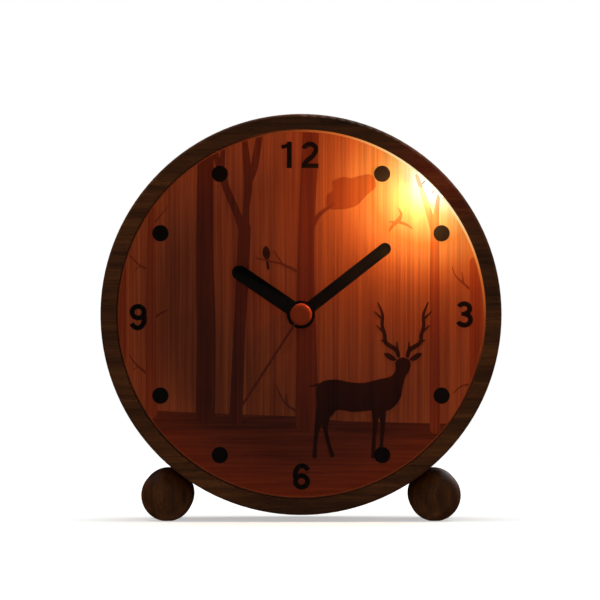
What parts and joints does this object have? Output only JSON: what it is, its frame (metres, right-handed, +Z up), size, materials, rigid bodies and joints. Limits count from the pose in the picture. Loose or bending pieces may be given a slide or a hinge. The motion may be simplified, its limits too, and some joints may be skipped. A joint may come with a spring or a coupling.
{
  "type": "alarm clock",
  "caption": "Round wooden table alarm clock on ball feet: silent quartz hands over a wood-grain dial, a warm night light, and setting knobs, button and alarm switch on the back.",
  "frame": {"origin": "on the surface the clock stands on, below the middle of its overall width and depth", "axes": "+Z up, the dial faces -Y, +X is towards 3 o'clock"},
  "size_m": [0.115, 0.0486, 0.117],
  "materials": {
    "walnut": "dark stained and oiled, satin",
    "dowel_beech": "raw beech",
    "lens_glass": "clear, polished",
    "bezel_black": "moulded, satin dark brown",
    "dial_veneer": "printed wood-grain dial, satin",
    "pale_plastic": "moulded ABS, unpainted",
    "board_white": "white solder mask",
    "warm_led": "epoxy lens over a lit warm chip",
    "wire_pvc": "PVC sleeve",
    "zinc_steel": "zinc plated",
    "circuit_board": "green solder mask on glass-fibre board",
    "black_plastic": "moulded, matt",
    "silicon_steel": "stamped sheet",
    "copper_wire": "enamelled copper wire",
    "ferrite": "sintered magnet",
    "acetal": "moulded acetal",
    "brass": "milled brass",
    "spring_bronze": "rolled phosphor bronze",
    "hand_black": "matt black lacquer on stamped aluminium",
    "hand_orange": "orange lacquer on stamped aluminium",
    "cap_orange": "moulded, gloss orange",
    "cover_plastic": "moulded ABS, fine spark texture",
    "knob_plastic": "moulded ABS, satin",
    "cream_plastic": "moulded ABS, semi gloss",
    "cell_jacket": "plain printed foil jacket",
    "nickel_steel": "nickel plated spring steel"
  },
  "bodies": {
    "case": {"case_ring": "walnut", "foot_front_left": "walnut", "foot_front_right": "walnut", "foot_rear_left": "walnut", "foot_rear_right": "walnut", "foot_dowels": "dowel_beech", "lens": "lens_glass", "inner_bezel": "bezel_black", "dial_plate": "dial_veneer", "chassis": "pale_plastic", "led_board": "board_white", "night_light_led": "warm_led", "led_wires": "wire_pvc", "movement_housing": "pale_plastic", "middle_plate": "pale_plastic", "movement_back": "pale_plastic", "movement_screws": "zinc_steel", "timer_board": "circuit_board", "timer_chip": "black_plastic", "quartz_crystal": "zinc_steel", "stator": "silicon_steel", "coil_core": "silicon_steel", "coil_bobbin": "black_plastic", "coil_winding": "copper_wire", "alarm_contact": "spring_bronze", "rear_cover": "cover_plastic", "cover_screws": "zinc_steel", "control_board": "circuit_board", "board_screws": "zinc_steel", "tact_switch": "black_plastic", "slide_switch": "black_plastic", "buzzer": "black_plastic", "battery": "cell_jacket", "battery_spring": "nickel_steel", "battery_plate": "nickel_steel", "battery_wires": "wire_pvc", "movement_wires": "wire_pvc"},
    "rotor": {"rotor_magnet": "ferrite", "rotor_pinion": "acetal"},
    "intermediate": {"intermediate_wheel": "acetal"},
    "seconds": {"second_wheel": "brass", "second_hand": "hand_orange", "centre_cap": "cap_orange"},
    "third": {"third_wheel": "acetal"},
    "centre": {"centre_wheel": "brass"},
    "minutes": {"minute_pipe": "brass", "clutch_spring": "spring_bronze", "minute_hand": "hand_black"},
    "time_setting": {"motion_wheel": "acetal", "time_knob": "knob_plastic"},
    "hours": {"hour_wheel": "acetal", "hour_hand": "hand_black"},
    "alarm_setting": {"alarm_pinion": "acetal", "alarm_knob": "knob_plastic"},
    "alarm": {"alarm_wheel": "acetal", "alarm_hand": "hand_black"},
    "light_button": {"light_button": "cream_plastic"},
    "alarm_slider": {"alarm_slider": "cream_plastic"},
    "battery_door": {"battery_door": "cover_plastic"}
  },
  "joints": [
    {"name": "second_hand_turn", "type": "hinge", "parent": "case", "child": "seconds", "pos_m": [0, -0.01375, 0.05948], "axis": [0, 1, 0], "continuous": true},
    {"name": "rotor_turn", "type": "hinge", "parent": "case", "child": "rotor", "pos_m": [0.0162, -0.01375, 0.05948], "axis": [0, 1, 0], "continuous": true},
    {"name": "intermediate_turn", "type": "hinge", "parent": "case", "child": "intermediate", "pos_m": [0.0102, -0.01375, 0.05948], "axis": [0, 1, 0], "continuous": true},
    {"name": "third_wheel_turn", "type": "hinge", "parent": "case", "child": "third", "pos_m": [-0.00177, -0.01375, 0.06953], "axis": [0, 1, 0], "continuous": true},
    {"name": "centre_wheel_turn", "type": "hinge", "parent": "case", "child": "centre", "pos_m": [0, -0.01375, 0.05948], "axis": [0, 1, 0], "continuous": true},
    {"name": "time_knob_turn", "type": "hinge", "parent": "case", "child": "time_setting", "pos_m": [-0.00827, -0.01375, 0.05254], "axis": [0, 1, 0], "continuous": true},
    {"name": "minute_hand_turn", "type": "hinge", "parent": "case", "child": "minutes", "pos_m": [0, -0.01375, 0.05948], "axis": [0, 1, 0], "continuous": true},
    {"name": "hour_hand_turn", "type": "hinge", "parent": "case", "child": "hours", "pos_m": [0, -0.01375, 0.05948], "axis": [0, 1, 0], "continuous": true},
    {"name": "alarm_knob_turn", "type": "hinge", "parent": "case", "child": "alarm_setting", "pos_m": [0.00931, -0.01375, 0.05167], "axis": [0, 1, 0], "continuous": true},
    {"name": "alarm_hand_turn", "type": "hinge", "parent": "case", "child": "alarm", "pos_m": [0, -0.01375, 0.05948], "axis": [0, 1, 0], "continuous": true},
    {"name": "light_button_press", "type": "slide", "parent": "case", "child": "light_button", "axis": [0, -1, 0], "range_m": [0, 0.0015], "stiffness_N_per_m": 350, "springref_m": -0.001},
    {"name": "alarm_switch_slide", "type": "slide", "parent": "case", "child": "alarm_slider", "axis": [1, 0, 0], "range_m": [0, 0.004]},
    {"name": "battery_door_slide", "type": "slide", "parent": "case", "child": "battery_door", "axis": [-1, 0, 0], "range_m": [0, 0.0035]}
  ],
  "couplings": [
    {"joint": "rotor_turn", "follows": "second_hand_turn", "ratio": 30},
    {"joint": "intermediate_turn", "follows": "second_hand_turn", "ratio": -7.5},
    {"joint": "third_wheel_turn", "follows": "second_hand_turn", "ratio": -0.13333},
    {"joint": "centre_wheel_turn", "follows": "second_hand_turn", "ratio": 0.016667},
    {"joint": "minute_hand_turn", "follows": "time_knob_turn", "ratio": -3},
    {"joint": "hour_hand_turn", "follows": "time_knob_turn", "ratio": -0.25},
    {"joint": "alarm_hand_turn", "follows": "alarm_knob_turn", "ratio": -0.25}
  ]
}
